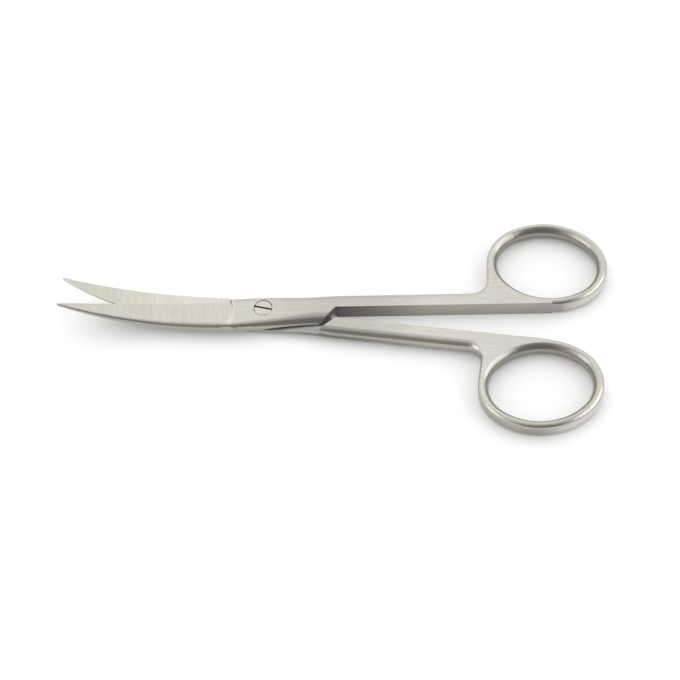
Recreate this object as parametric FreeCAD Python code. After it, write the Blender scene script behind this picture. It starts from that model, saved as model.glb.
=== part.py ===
import FreeCAD, Part
import math
import os

from FreeCAD import Vector

# Curved dissecting scissors with a slotted pivot screw, lying on their flat underside and a little open.
# Origin: on the pivot axis, in the plane of the underside. +X runs to the finger rings, halfway between
# the two halves, and +Z is up. Each half is drawn closed, with its handle along +X and its finger ring
# on the +Y side. The lower half is then mirrored, and both are turned open about the pivot.

# Whole forging
thickness = 4.2
pivot_to_tip = 48.6
rest_half_angle = 4.14
lap_gap = 0.04

# Finger ring: an oval hole of four tangent arcs, in a bow whose inside is rounded like a barrel
ring_centre_x = 67.4
ring_centre_y = 12.4
ring_hole_long = 23.7
ring_hole_short = 19.4
ring_end_radius = 8.4
ring_tilt = -12.9
ring_hole_flare = 1.25
bow_width = 2.5
bow_outer_round = 1.1

# Shank between joint and ring, measured from the line along which the closed handles meet
handle_shift = 0.35
shank_inner = 0.3
shank_outer = 4.38
shank_round = 1.95
shank_start = 18.0
spare_width = 0.9
web_fillet = 3.6

# Joint plate, measured from the middle line of the closed blades, which passes beside the screw
blade_shift = 1.02
plate_inner = 4.29
plate_waist_x = 12.0
plate_waist = 4.07
plate_side_round = 1.0
bulge_x = -6.0
bulge_spine = 4.2
plate_spine_x = 3.0
plate_spine = 3.7
plate_spine_at_end = 2.95
spine_round_at_blade = 0.7
spine_round_at_end = 3.0
plate_end_x = 17.3
plate_end_angle = 49.0
shoulder_gap = 0.6

# Blade in plan: distance from its middle line to the cutting edge and to the spine
blade_root_x = -14.0
blade_inside_plate_x = -5.9
edge_at_joint = 3.75
edge_power = 3.35
spine_at_joint = 4.38
spine_at_tip = 0.7
spine_power = 1.7
tip_round = 0.3

# Blade section: height of the ridge and of the land left at the cutting edge, and the bevel on the spine
ridge_at_joint = 2.06
ridge_at_tip = 0.6
ridge_power = 2.5
land_at_joint = 1.0
land_at_tip = 0.15
bevel_width = 1.2
bevel_lead = 0.1
bevel_drop = 1.35
shoulder_width = 0.36
shoulder_drop = 0.36

# Bend of the blades, upwards from the plane of the joint
bend_start = 15.9
bend_radius = 83.5

# Rounded end of the ground facet beside the screw
facet_end_x = -6.95
facet_end_middle = 0.8
facet_end_radius = 6.5
facet_end_slope = 0.5

# Pivot screw
head_diameter = 4.3
head_height = 1.0
head_clearance = 0.08
head_chamfer = 0.12
slot_width = 0.47
slot_depth = 0.5
slot_angle = -9.5
stem_diameter = 2.8
stem_clearance = 0.04

middle = thickness / 2
reach = 200.0
same_place = 0.01
overrun = 0.6
section_depth = 2.0
section_count = 8
axis = Vector(0, 0, 1)
plan_document = FreeCAD.newDocument("scissors")


def rise(radius):
    """Height that the blade's inner face has gained at a distance from the pivot axis."""
    past = max(0.0, radius - bend_start)
    return bend_radius - math.sqrt(bend_radius ** 2 - past ** 2)


def along(x):
    """Share of the way from the pivot to the tip."""
    return abs(x) / pivot_to_tip


def edge_width(x):
    return edge_at_joint * (1 - along(x) ** edge_power)


def spine_width(x):
    return spine_at_joint - (spine_at_joint - spine_at_tip) * along(x) ** spine_power


def line(start, end):
    return Part.makeLine(Vector(*start), Vector(*end))


def spline(points, **ends):
    curve = Part.BSplineCurve()
    curve.interpolate(Points=[Vector(*point) for point in points], **ends)
    return curve.toShape()


def even_steps(start, end, count):
    return [start + (end - start) * step / (count - 1) for step in range(count)]


class Oval:
    """Plan of one finger ring: four tangent arcs, outside the edge of the hole by a margin all round."""

    def __init__(self, margin, shift):
        long = ring_hole_long / 2
        short = ring_hole_short / 2
        spread = long ** 2 + short ** 2 - 2 * long * ring_end_radius
        side_radius = spread / (2 * (short - ring_end_radius))
        self.tilt = math.radians(ring_tilt)
        self.centre = Vector(ring_centre_x, ring_centre_y - shift, 0)
        self.half_angle = math.atan2(side_radius - short, long - ring_end_radius)
        self.radii = (ring_end_radius + margin, side_radius + margin)
        self.offsets = (long - ring_end_radius, short - side_radius)

    def circle(self, quarter):
        """Circle of one arc: quarter 0 faces along the ring, 1 across it, and so on round."""
        facing = self.tilt + quarter * math.pi / 2
        outwards = Vector(math.cos(facing), math.sin(facing), 0)
        centre = self.centre + outwards * self.offsets[quarter % 2]
        return Part.Circle(centre, axis, self.radii[quarter % 2])

    def facings(self, quarter):
        """Directions that one arc faces at its two ends."""
        facing = self.tilt + quarter * math.pi / 2
        half_angle = math.pi / 2 - self.half_angle if quarter % 2 else self.half_angle
        return facing - half_angle, facing + half_angle

    def arcs(self, first, last):
        """Arcs in order round the ring, as far as they face between two directions."""
        edges = []
        for quarter in range(-1, 3):
            start, end = self.facings(quarter)
            arc = Part.ArcOfCircle(self.circle(quarter), max(first, start), min(last, end))
            edges.append(arc.toShape())
        return edges

    def lowest(self):
        return self.circle(-1).value(-math.pi / 2)

    def leftmost(self):
        return self.circle(2).value(math.pi)


def flat_height(side):
    return shank_inner - side * handle_shift


def blank_outline(side):
    """Plan of ring, shank and joint plate, as named edges in order round the outline.

    Past the plate's end and below the flat, it has spare metal that is milled off later.
    """
    handle = -side * handle_shift
    blade = -side * blade_shift
    outer = handle + shank_outer
    spare = flat_height(side) - spare_width
    bow = Oval(bow_width, side * handle_shift)
    low = bow.lowest()
    left = bow.leftmost()
    spine_end = (plate_end_x, blade - plate_spine_at_end)
    root_spine = (blade_root_x, blade - spine_width(blade_root_x))
    root_edge = (blade_root_x, blade + edge_width(blade_root_x))
    arc_x = left.x - web_fillet
    arc_y = outer + web_fillet
    arc_middle = Vector(arc_x + web_fillet * math.sqrt(0.5), arc_y - web_fillet * math.sqrt(0.5), 0)
    web_arc = Part.Arc(Vector(left.x, arc_y, 0), arc_middle, Vector(arc_x, outer, 0)).toShape()
    return {
        "spine": [spline([
            root_spine,
            (bulge_x, blade - bulge_spine),
            (plate_spine_x, blade - plate_spine),
            spine_end,
        ])],
        "spare": [
            line(spine_end, (plate_end_x, spare)),
            line((plate_end_x, spare), (low.x, spare)),
            line((low.x, spare), low),
        ],
        "ring": bow.arcs(-math.pi / 2, math.pi),
        "web": [line(left, (left.x, arc_y))],
        "web_arc": [web_arc],
        "shank": [line((arc_x, outer), (shank_start, outer))],
        "plate_side": [spline(
            [
                (shank_start, outer),
                (plate_waist_x, handle + plate_waist),
                (0.0, (handle + blade) / 2 + plate_inner),
                root_edge,
            ],
            InitialTangent=Vector(-1, 0, 0),
            FinalTangent=Vector(-1, -0.05, 0),
        )],
        "root": [line(root_edge, root_spine)],
    }


def rim_numbers(solid, plan_edge, heights):
    """Numbers of the solid's rims over a plan edge, with the end that the plan edge starts at."""
    target = plan_edge.valueAt((plan_edge.FirstParameter + plan_edge.LastParameter) / 2)
    start = plan_edge.valueAt(plan_edge.FirstParameter)
    found = []
    for number, edge in enumerate(solid.Edges, 1):
        point = edge.valueAt((edge.FirstParameter + edge.LastParameter) / 2)
        if point.z not in heights or math.hypot(point.x - target.x, point.y - target.y) > same_place:
            continue
        first = edge.valueAt(edge.FirstParameter)
        forward = math.hypot(first.x - start.x, first.y - start.y) < same_place
        found.append((number, forward))
    return found


def rounded(solid, rounds):
    """Round the rims over plan edges, each from its first radius to its second."""
    base = plan_document.addObject("Part::Feature", "blank")
    base.Shape = solid
    fillet = plan_document.addObject("Part::Fillet", "rounds")
    fillet.Base = base
    wanted = []
    for plan_edges, first, last, heights in rounds:
        for plan_edge in plan_edges:
            for number, forward in rim_numbers(solid, plan_edge, heights):
                radii = (first, last) if forward else (last, first)
                wanted.append((number, *radii))
    fillet.Edges = wanted
    plan_document.recompute()
    return fillet.Shape.copy()


def ring_hole(side):
    """Space of the finger hole, as four sectors: narrowest at half height and flared both ways."""
    hole = Oval(0.0, side * handle_shift)
    sectors = []
    for quarter in range(-1, 3):
        circle = hole.circle(quarter)
        start, end = hole.facings(quarter)
        mouth = circle.Radius + ring_hole_flare
        top = thickness + overrun
        waist = Vector(circle.Radius, 0, middle)
        outline = Part.Wire([
            Part.Arc(Vector(mouth, 0, 0), waist, Vector(mouth, 0, thickness)).toShape(),
            line((mouth, 0, thickness), (mouth, 0, top)),
            line((mouth, 0, top), (0, 0, top)),
            line((0, 0, top), (0, 0, -overrun)),
            line((0, 0, -overrun), (mouth, 0, -overrun)),
            line((mouth, 0, -overrun), (mouth, 0, 0)),
        ])
        sector = Part.Face(outline).revolve(Vector(0, 0, 0), axis, math.degrees(end - start))
        sector.rotate(Vector(0, 0, 0), axis, math.degrees(start))
        sector.translate(circle.Center)
        sectors.append(sector)
    return sectors


def milled_off(side):
    """What milling takes off: the slanted end of the joint plate and all that lies below the flat."""
    plate_end = Vector(plate_end_x, flat_height(side), 0)
    slant = math.radians(plate_end_angle)
    down_slant = plate_end - Vector(math.cos(slant), math.sin(slant), 0) * reach
    corners = [plate_end, down_slant, Vector(reach, down_slant.y, 0), Vector(reach, plate_end.y, 0)]
    prism = Part.Face(Part.makePolygon(corners + corners[:1])).extrude(axis * reach)
    prism.translate(axis * -reach / 2)
    return prism


def blank(side):
    """Ring, shank and joint plate at full thickness, with rounded outer sides."""
    outline = blank_outline(side)
    rim = [edge for edges in outline.values() for edge in edges]
    solid = Part.Face(Part.Wire(Part.__sortEdges__(rim))).extrude(axis * thickness)
    both = (0.0, thickness)
    outer_face = (middle + side * middle,)
    solid = rounded(solid, [
        (outline["spine"], spine_round_at_blade, spine_round_at_end, outer_face),
        (outline["ring"], bow_outer_round, bow_outer_round, both),
        (outline["web"], bow_outer_round, bow_outer_round, both),
        (outline["web_arc"], bow_outer_round, shank_round, both),
        (outline["shank"], shank_round, shank_round, both),
        (outline["plate_side"], shank_round, plate_side_round, both),
    ])
    solid = solid.cut(milled_off(side))
    for sector in ring_hole(side):
        solid = solid.cut(sector)
    return solid.removeSplitter()


def blade_section(x, side):
    """Closed section across the blade: rounded bevel on the spine, then the facet down to the edge."""
    middle_line = -side * blade_shift
    share = along(x)
    slimmer = spine_width(x) / spine_at_joint
    spine = middle_line - spine_width(x)
    edge = middle_line + edge_width(x)
    ridge = spine + bevel_width * slimmer
    ridge_height = ridge_at_joint + (ridge_at_tip - ridge_at_joint) * share ** ridge_power
    land = land_at_joint + (land_at_tip - land_at_joint) * share
    facet_slope = (land - ridge_height) / (edge - ridge)
    corners = [
        (spine - bevel_lead * slimmer, -section_depth),
        (spine - bevel_lead * slimmer, ridge_height - bevel_drop * slimmer),
        (spine + shoulder_width * slimmer, ridge_height - shoulder_drop * slimmer),
        (ridge, ridge_height),
        (edge + overrun, land + facet_slope * overrun),
        (edge + overrun, -section_depth),
    ]
    foot, start, shoulder, top, end, toe = [
        Vector(x, y, middle + rise(math.hypot(x, y)) + side * height) for y, height in corners
    ]
    return Part.Wire([
        line(foot, start),
        Part.Arc(start, shoulder, top).toShape(),
        line(top, end),
        line(end, toe),
        line(toe, foot),
    ])


def blade(side):
    """Curved blade: its ground outer faces, inside its plan outline."""
    middle_line = -side * blade_shift
    stations = even_steps(blade_inside_plate_x, -pivot_to_tip - overrun, section_count)
    body = Part.makeLoft([blade_section(x, side) for x in stations], True, False)
    steps = even_steps(blade_inside_plate_x, -pivot_to_tip, section_count)
    edge_line = [(x, middle_line + edge_width(x)) for x in steps]
    spine_line = [(x, middle_line - spine_width(x)) for x in steps]
    outline = Part.Wire([
        spline(edge_line),
        line(edge_line[-1], spine_line[-1]),
        spline(spine_line[::-1]),
        line(spine_line[0], edge_line[0]),
    ])
    prism = Part.Face(outline).extrude(axis * reach)
    upright = [edge for edge in prism.Edges if edge.Length > reach / 2]
    tip = [edge for edge in upright if edge.CenterOfMass.x < same_place - pivot_to_tip]
    prism = prism.makeFillet(tip_round, tip)
    prism.translate(axis * -reach / 2)
    return body.common(prism)


def plate_bite(side):
    """What the grinding wheel takes off the joint plate where the blade's facet ends."""
    centre = Vector(facet_end_x - facet_end_radius, facet_end_middle - side * blade_shift, middle)
    inner_radius = facet_end_radius - facet_end_slope
    return Part.makeCone(inner_radius, facet_end_radius, thickness, centre, axis * side)


def left_of_shoulder(side):
    """Everything on the blade's side of the slanted shoulder that the partner's plate end faces."""
    turn = math.radians(plate_end_angle)
    partner_end = Vector(plate_end_x, -(shank_inner + side * handle_shift), 0)
    on_line = partner_end + Vector(math.sin(turn), math.cos(turn), 0) * shoulder_gap
    run = Vector(-math.cos(turn), math.sin(turn), 0) * reach
    far_left = Vector(-2 * reach, 0, 0)
    corners = [on_line + run, on_line - run, on_line - run + far_left, on_line + run + far_left]
    prism = Part.Face(Part.makePolygon(corners + corners[:1])).extrude(axis * 2 * reach)
    prism.translate(axis * -reach)
    return prism


def partner_space(side):
    """Space of the other half: all that lies beyond the lap face, which bends up with the blades."""
    face_height = middle + side * lap_gap / 2
    far_radius = pivot_to_tip * 1.25
    half_radius = (bend_start + far_radius) / 2
    bend_arc = Part.Arc(
        Vector(bend_start, 0, face_height),
        Vector(half_radius, 0, face_height + rise(half_radius)),
        Vector(far_radius, 0, face_height + rise(far_radius)),
    ).toShape()
    beyond = face_height - side * far_radius / 2
    edges = [
        line((0, 0, beyond), (0, 0, face_height)),
        line((0, 0, face_height), (bend_start, 0, face_height)),
        bend_arc,
        line((far_radius, 0, face_height + rise(far_radius)), (far_radius, 0, beyond)),
        line((far_radius, 0, beyond), (0, 0, beyond)),
    ]
    return Part.Face(Part.Wire(edges)).revolve(Vector(0, 0, 0), axis, 360).toNurbs()


def half(side):
    """One half: side 1 is the upper one, side -1 the lower one."""
    body = blank(side).cut(plate_bite(side)).fuse(blade(side))
    body = body.cut(partner_space(side).common(left_of_shoulder(side)))
    if side < 0:
        body = body.mirror(Vector(0, 0, 0), Vector(0, 1, 0))
    body.rotate(Vector(0, 0, 0), axis, side * rest_half_angle)
    return body


def upper_half():
    seat_height = thickness - head_height
    stem_hole = Part.makeCylinder(stem_diameter / 2 + stem_clearance, thickness)
    seat_radius = head_diameter / 2 + head_clearance
    seat = Part.makeCylinder(seat_radius, thickness, Vector(0, 0, seat_height - lap_gap / 2))
    return half(1).cut(stem_hole).cut(seat).removeSplitter()


def lower_half():
    return half(-1).cut(Part.makeCylinder(stem_diameter / 2, thickness)).removeSplitter()


def pivot_screw():
    """Flush slotted screw, threaded into the lower half."""
    seat_height = thickness - head_height
    head = Part.makeCylinder(head_diameter / 2, head_height, Vector(0, 0, seat_height))
    rim = [edge for edge in head.Edges if abs(edge.CenterOfMass.z - thickness) < same_place]
    head = head.makeChamfer(head_chamfer, rim)
    slot = Part.makeBox(head_diameter * 2, slot_width, slot_depth * 2)
    slot.translate(Vector(-head_diameter, -slot_width / 2, thickness - slot_depth))
    slot.rotate(Vector(0, 0, 0), axis, slot_angle)
    stem = Part.makeCylinder(stem_diameter / 2, seat_height)
    return head.fuse(stem).cut(slot).removeSplitter()


os.makedirs("parts", exist_ok=True)
for make_piece in (upper_half, lower_half, pivot_screw):
    shape = make_piece()
    solid = shape.Solids[0]
    name = make_piece.__name__
    print(name, len(shape.Solids), "solid", solid.isValid(), "volume", round(solid.Volume, 2))
    solid.exportStep("parts/" + name + ".step")
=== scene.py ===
import math

import bmesh
import bpy
from mathutils import Matrix, Vector


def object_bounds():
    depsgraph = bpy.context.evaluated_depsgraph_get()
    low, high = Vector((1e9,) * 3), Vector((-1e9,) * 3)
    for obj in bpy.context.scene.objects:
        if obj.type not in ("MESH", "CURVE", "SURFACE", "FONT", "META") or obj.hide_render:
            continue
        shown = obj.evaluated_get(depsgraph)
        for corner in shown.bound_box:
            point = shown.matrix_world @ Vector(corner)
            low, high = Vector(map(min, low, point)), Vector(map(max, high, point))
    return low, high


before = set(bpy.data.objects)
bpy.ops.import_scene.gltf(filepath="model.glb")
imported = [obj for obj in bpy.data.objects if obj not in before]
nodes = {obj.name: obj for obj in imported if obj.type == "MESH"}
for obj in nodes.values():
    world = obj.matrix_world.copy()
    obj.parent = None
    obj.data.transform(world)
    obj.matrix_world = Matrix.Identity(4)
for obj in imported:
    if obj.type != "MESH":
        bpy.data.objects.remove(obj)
cad_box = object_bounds()


# The two halves. Each is one stainless steel forging, ground flat on both sides, rounded over
# along its rims and brushed to a satin finish: lengthwise on the shank and ring, crosswise on the
# blade's facet. Its sizes are in millimetres, along the half from the pivot and up from the table.
class Signal:
    """A value on its way through one material's nodes, so that shader maths reads as sums."""

    def __init__(self, tree, socket=None):
        self.tree = tree
        self.socket = socket

    def make(self, kind, settings, sockets, out=0):
        """Add a node. Its settings come first, then a value or a link for each socket."""
        node = self.tree.nodes.new(kind)
        for name, value in settings.items():
            setattr(node, name, value)
        for name, value in sockets.items():
            if isinstance(value, Signal):
                self.tree.links.new(value.socket, node.inputs[name])
            else:
                node.inputs[name].default_value = value
        return Signal(self.tree, node.outputs[out] if node.outputs else None)

    def maths(self, operation, other=0.0):
        return self.make("ShaderNodeMath", {"operation": operation}, {0: self, 1: other})

    def __add__(self, other):
        return self.maths("ADD", other)

    def __sub__(self, other):
        return self.maths("SUBTRACT", other)

    def __mul__(self, other):
        return self.maths("MULTIPLY", other)

    __radd__ = __add__
    __rmul__ = __mul__

    def __rsub__(self, other):
        return self * -1 + other

    def along(self, axis):
        """The part of a vector that lies along X, Y or Z."""
        return self.make("ShaderNodeSeparateXYZ", {}, {"Vector": self}, out=axis)

    def ramp(self, low, high):
        """0 below low and 1 above high, with a smooth run between."""
        limits = {"From Min": low, "From Max": high, "Value": self}
        return self.make("ShaderNodeMapRange", {"interpolation_type": "SMOOTHSTEP"}, limits)

    def past(self, edge, margin):
        """0 before an edge and 1 past it, with a smooth run of one margin on each side of it."""
        return self.ramp(edge - margin, edge + margin)

    def blend(self, first, second):
        """First colour where this is 0, second where it is 1."""
        settings = {"data_type": "RGBA"}
        return self.make("ShaderNodeMix", settings, {0: self, 6: first, 7: second}, out=2)


def empty_material(name):
    material = bpy.data.materials.new(name)
    material.use_nodes = True
    material.node_tree.nodes.clear()
    return material, Signal(material.node_tree)


def finish_material(start, settings):
    shader = start.make("ShaderNodeBsdfPrincipled", {}, settings)
    start.make("ShaderNodeOutputMaterial", {}, {"Surface": shader})


rest_half_angle = math.radians(4.14)
millimetres = (1000, 1000, 1000)

facet_end = -7.0
facet_margin = 0.4
plate_wall_end = 10.0
plate_wall_margin = 2.0
joint_end = 14.0
handle_start = 42.0
ring_hole_start = 53.0
ring_hole_margin = 1.0
ring_start = 62.0
ring_full = 68.0
ring_centre = (67.4, 12.4, 2.1)
lap_height = 2.1
lap_margin = (0.05, 0.15)

# How far a face's normal points up, sideways, endways or into the ring's hole, at the two ends
# of the run in which one of these surfaces gives way to the next.
wall_upright = (0.05, 0.25)
flat_upright = (0.90, 0.98)
land_sideways = (0.3, 0.8)
ring_endways = (0.0, 0.6)
hollow_inwards = (0.25, 0.75)

facet_steel = (0.446, 0.437, 0.390, 1)
plate_steel = (0.402, 0.392, 0.348, 1)
handle_steel = (0.430, 0.421, 0.380, 1)
# The walls near the joint are painted dark: painted shade where the other half shades them.
joint_wall_painted_shade = (0.206, 0.192, 0.178, 1)
handle_wall = (0.420, 0.404, 0.370, 1)
ring_front = (0.375, 0.362, 0.336, 1)
# The ring's walls that face away from the pivot are painted much brighter: a painted highlight.
ring_end_painted_highlight = (0.700, 0.686, 0.646, 1)
# The lap face, where the halves lie on each other, is painted darker: painted shade from the half
# above it.
lap_painted_shade = (0.270, 0.265, 0.250, 1)
# The inside of the ring's hole is painted darker: painted shade in the hollow.
hollow_painted_shade = (0.310, 0.300, 0.272, 1)
# The steep land along the cutting edge is painted dark: painted shade along the blade's edge.
cutting_land_painted_shade = (0.150, 0.140, 0.122, 1)

long_scratch = (8.0, 0.40, 0.40)
cross_scratch = (0.50, 12.0, 3.0)
grind_turn = math.radians(8)
cloud_scale = 0.22
cloud_share = 0.25
shade_contrast = (0.25, 0.75)
tone_least = 0.94
tone_most = 1.06
# Round this place past the joint the steel is painted darker, fading out over the reach: painted
# shade for a gradient in the reflection.
painted_shade_centre = 20.0
painted_shade_reach = (4.0, 24.0)
painted_shade_share = 0.14
satin_roughness = 0.20
scratch_roughness = 0.10
scratch_strength = 0.10
scratch_depth = 0.00002  # metres, as the Bump node takes it


def satin_steel(name, turn, side):
    """Brushed steel of one half, which lies at a turn about the pivot with its ring on one side."""
    material, start = empty_material(name)
    place = start.make("ShaderNodeTexCoord", {}, {}, out="Object")
    facing = start.make("ShaderNodeTexCoord", {}, {}, out="Normal")
    local = start.make("ShaderNodeMapping", {}, {
        "Vector": place, "Rotation": (0, 0, -turn), "Scale": millimetres,
    })
    length = local.along("X")
    height = local.along("Z")
    upright = facing.along("Z").maths("ABSOLUTE")
    endways = facing.along("X")
    sideways = facing.along("Y")

    # Each kind of surface, as 1 on it and 0 off it.
    steep = 1 - upright.ramp(*wall_upright)
    wall = steep * length.past(plate_wall_end, plate_wall_margin)
    facet = 1 - length.past(facet_end, facet_margin)
    # The cutting land carries painted shade.
    land = steep * facet * (sideways * side).ramp(*land_sideways)
    handle = length.ramp(joint_end, handle_start)
    from_lap = (height - lap_height).maths("ABSOLUTE")
    lap = (1 - from_lap.ramp(*lap_margin)) * upright.ramp(*flat_upright) * (1 - facet)
    ring = length.ramp(ring_start, ring_full)
    middle = (ring_centre[0], ring_centre[1] * side, ring_centre[2])
    inwards = start.make("ShaderNodeVectorMath", {"operation": "SUBTRACT"}, {0: middle, 1: local})
    inwards = start.make("ShaderNodeVectorMath", {"operation": "NORMALIZE"}, {0: inwards})
    inside = start.make("ShaderNodeVectorMath", {"operation": "DOT_PRODUCT"}, {
        0: inwards, 1: facing,
    }, out="Value")
    hollow = inside.ramp(*hollow_inwards) * length.past(ring_hole_start, ring_hole_margin)

    # The brushing: scratches along the half, or across it on the facet, and softer clouds. A darker
    # stretch past the joint is painted shade, standing in for a gradient in the reflection.
    lengthwise = start.make("ShaderNodeMapping", {"vector_type": "TEXTURE"}, {
        "Vector": local, "Scale": long_scratch,
    })
    crosswise = start.make("ShaderNodeMapping", {"vector_type": "TEXTURE"}, {
        "Vector": local, "Rotation": (0, 0, grind_turn), "Scale": cross_scratch,
    })
    long_grain = start.make("ShaderNodeTexNoise", {}, {
        "Vector": lengthwise, "Scale": 1.0, "Detail": 4.0,
    })
    cross_grain = start.make("ShaderNodeTexNoise", {}, {
        "Vector": crosswise, "Scale": 1.0, "Detail": 5.0,
    })
    clouds = start.make("ShaderNodeTexNoise", {}, {
        "Vector": local, "Scale": cloud_scale, "Detail": 2.0,
    })
    grain = long_grain + (cross_grain - long_grain) * facet
    shade = (grain * (1 - cloud_share) + clouds * cloud_share).ramp(*shade_contrast)
    tone = start.make("ShaderNodeMapRange", {}, {
        "Value": shade, "To Min": tone_least, "To Max": tone_most,
    })
    # Painted shade: the tone is darkened in a stretch past the joint.
    outside_painted_shade = (length - painted_shade_centre).maths("ABSOLUTE").ramp(*painted_shade_reach)
    tone = tone * (1 - painted_shade_share + painted_shade_share * outside_painted_shade)

    # The colour: the ground flats, then painted shade on the lap face and the cutting land, the
    # walls with their painted shade and painted highlight, and painted shade on the ring's inside
    # on them.
    flats = facet.blend(handle.blend(plate_steel, handle_steel), facet_steel)
    flats_with_painted_shade = land.blend(lap.blend(flats, lap_painted_shade), cutting_land_painted_shade)
    # Painted highlight on the ring's walls where they face away from the pivot.
    ring_wall_painted_highlight = endways.ramp(*ring_endways).blend(ring_front, ring_end_painted_highlight)
    # The walls: painted shade near the joint, plain steel along the handle, and the ring's painted
    # highlight.
    walls_with_painted_light = ring.blend(handle.blend(joint_wall_painted_shade, handle_wall), ring_wall_painted_highlight)
    # Painted shade on the ring's inside.
    colour_with_hollow_shade = hollow.blend(wall.blend(flats_with_painted_shade, walls_with_painted_light), hollow_painted_shade)
    colour = start.make("ShaderNodeVectorMath", {"operation": "SCALE"}, {
        0: colour_with_hollow_shade, "Scale": tone,
    })
    bump = start.make("ShaderNodeBump", {}, {
        "Strength": scratch_strength, "Distance": scratch_depth, "Height": grain,
    })
    finish_material(start, {
        "Base Color": colour,
        "Metallic": 1.0,
        "Roughness": satin_roughness + scratch_roughness * grain,
        "Normal": bump,
    })
    return material


for name, side in (("upper_half", 1), ("lower_half", -1)):
    steel = satin_steel(name + "_satin_steel", rest_half_angle * side, side)
    nodes[name].data.materials.clear()
    nodes[name].data.materials.append(steel)


# The pivot screw. A turned steel screw with a straight slot, set flush in the upper half. Its head
# shows fine rings from the lathe round its middle.
slot_floor = 3.75
slot_rim = 4.15
slot_shade = (0.03, 0.027, 0.024, 1)
turned_dark = (0.38, 0.37, 0.32, 1)
turned_bright = (0.46, 0.45, 0.40, 1)
turned_roughness = 0.26
speckle_roughness = 0.08
turning_strength = 0.15
turning_depth = 0.00002  # metres


def turned_steel():
    material, start = empty_material("turned_steel")
    place = start.make("ShaderNodeTexCoord", {}, {}, out="Object")
    local = start.make("ShaderNodeMapping", {}, {"Vector": place, "Scale": millimetres})
    rings = start.make("ShaderNodeTexWave", {"wave_type": "RINGS", "rings_direction": "Z"}, {
        "Vector": local, "Scale": 2.2, "Distortion": 1.2, "Detail": 3.0,
    }, out="Fac")
    speckle = start.make("ShaderNodeTexNoise", {}, {"Vector": local, "Scale": 2.0, "Detail": 4.0})
    turned = (rings * 0.5 + speckle * 0.5).blend(turned_dark, turned_bright)
    colour = local.along("Z").ramp(slot_floor, slot_rim).blend(slot_shade, turned)
    bump = start.make("ShaderNodeBump", {}, {
        "Strength": turning_strength, "Distance": turning_depth, "Height": rings,
    })
    finish_material(start, {
        "Base Color": colour,
        "Metallic": 1.0,
        "Roughness": turned_roughness + speckle_roughness * speckle,
        "Normal": bump,
    })
    return material


nodes["pivot_screw"].data.materials.clear()
nodes["pivot_screw"].data.materials.append(turned_steel())


# The floor. A plain white table, on which the scissors lie on their flat underside. It glows a
# little for the camera and in the steel, so that it is a clean white there and keeps its shadow.
floor_reach = 15.0
floor_drop = 0.00002
floor_white = 0.78
floor_lift = 0.10
floor_form = bmesh.new()
bmesh.ops.create_grid(floor_form, x_segments=1, y_segments=1, size=floor_reach)
floor_mesh = bpy.data.meshes.new("floor")
floor_form.to_mesh(floor_mesh)
floor_form.free()
floor = bpy.data.objects.new("floor", floor_mesh)
bpy.context.scene.collection.objects.link(floor)
floor_mesh.transform(Matrix.Translation((0, 0, cad_box[0][2] - floor_drop)))
floor_material, start = empty_material("white_table")
seen = start.make("ShaderNodeLightPath", {}, {}, out="Is Camera Ray")
mirrored = start.make("ShaderNodeLightPath", {}, {}, out="Is Glossy Ray")
passed = start.make("ShaderNodeLightPath", {}, {}, out="Is Transmission Ray")
shown = start.make("ShaderNodeMath", {"operation": "ADD", "use_clamp": True}, {
    0: seen + mirrored, 1: passed,
})
finish_material(start, {
    "Base Color": (floor_white, floor_white, floor_white, 1),
    "Roughness": 0.9,
    "Specular IOR Level": 0.0,
    "Emission Color": shown.blend((0, 0, 0, 1), (floor_lift, floor_lift, floor_lift, 1)),
    "Emission Strength": 1.0,
})
floor_mesh.materials.append(floor_material)


# The studio light. A pale room, brightest on the far side and dark where the photographer stands,
# with one softbox beyond the table and one at each side, of which the right one is the strongest.
view_turn = math.radians(12.23)
near = Vector((math.sin(view_turn), -math.cos(view_turn), 0))
right = Vector((math.cos(view_turn), math.sin(view_turn), 0))
room_colour = (1, 1, 0.99, 1)
room_light = 1.45
room_top = 1.0
room_dark = 0.32
top_towards = (0.0, 0.62)
dark_towards = (0.66, 0.95)
dark_elevation = math.radians(28)
world = bpy.data.worlds.new("studio")
world.use_nodes = True
world.node_tree.nodes.clear()
bpy.context.scene.world = world
start = Signal(world.node_tree)
direction = start.make("ShaderNodeTexCoord", {}, {}, out="Generated")
photographer = near * math.cos(dark_elevation) + Vector((0, 0, math.sin(dark_elevation)))
towards = start.make("ShaderNodeVectorMath", {"operation": "DOT_PRODUCT"}, {
    0: direction, 1: tuple(photographer),
}, out="Value")
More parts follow.
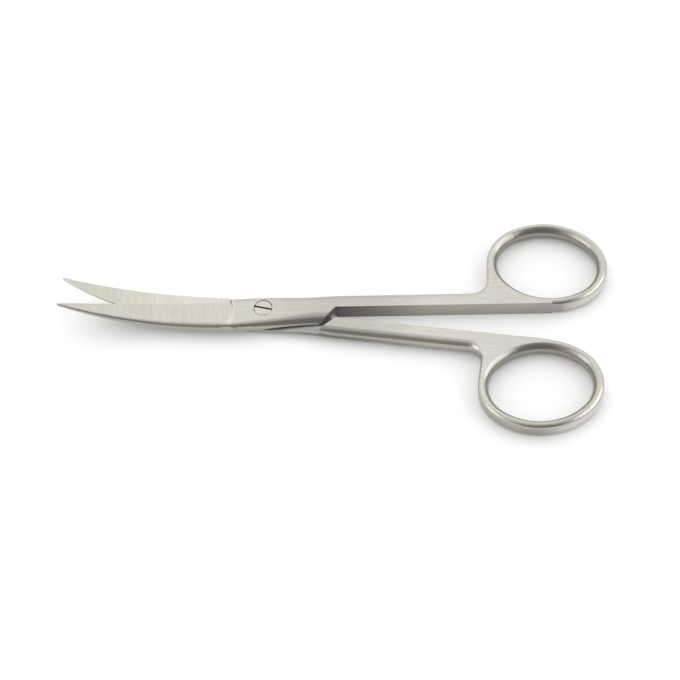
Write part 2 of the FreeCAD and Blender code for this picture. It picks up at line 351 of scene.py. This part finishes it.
strength = room_light - (room_light - room_top) * towards.ramp(*top_towards)
strength = strength - (room_top - room_dark) * towards.ramp(*dark_towards)
background = start.make("ShaderNodeBackground", {}, {
    "Color": room_colour, "Strength": strength,
})
start.make("ShaderNodeOutputWorld", {}, {"Surface": background})


def softbox(name, across, nearer, up, distance, size, power):
    """A square lamp that faces the pivot from a distance; across is to the camera's right."""
    direction = right * across + near * nearer + Vector((0, 0, up))
    lamp = bpy.data.lights.new(name, "AREA")
    lamp.shape = "SQUARE"
    lamp.size = size
    lamp.energy = power
    box = bpy.data.objects.new(name, lamp)
    box.location = direction.normalized() * distance
    box.rotation_euler = direction.to_track_quat("Z", "Y").to_euler()
    bpy.context.scene.collection.objects.link(box)


softbox("far_softbox", across=-0.2, nearer=-0.6, up=1.0, distance=0.9, size=0.6, power=0.3)
softbox("left_softbox", across=-0.87, nearer=0.28, up=0.42, distance=0.6, size=0.36, power=0.5)
softbox("right_softbox", across=0.87, nearer=0.28, up=0.32, distance=0.6, size=0.62, power=1.5)


# The camera. It stands above the near side of the table, at the height and turn of the
# photograph, and looks through a long lens at a point beside the pivot.
elevation = math.radians(54.2)
roll = math.radians(-7.5)
camera_distance = 0.4
aim_right = 0.01714
aim_near = 0.0093
film_width = 36.0
focal_length = 89.58
nearest_seen = 0.01
forward = near * -math.cos(elevation) - Vector((0, 0, math.sin(elevation)))
level_up = near * -math.sin(elevation) + Vector((0, 0, math.cos(elevation)))
side_axis = right * math.cos(roll) + level_up * math.sin(roll)
up_axis = level_up * math.cos(roll) - right * math.sin(roll)
lens = bpy.data.cameras.new("camera")
lens.sensor_width = film_width
lens.lens = focal_length
lens.clip_start = nearest_seen
camera = bpy.data.objects.new("camera", lens)
placed = Matrix((side_axis, up_axis, -forward)).transposed().to_4x4()
placed.translation = right * aim_right + near * aim_near - forward * camera_distance
camera.matrix_world = placed
bpy.context.scene.collection.objects.link(camera)
bpy.context.scene.camera = camera
bpy.context.scene.view_settings.view_transform = "Standard"
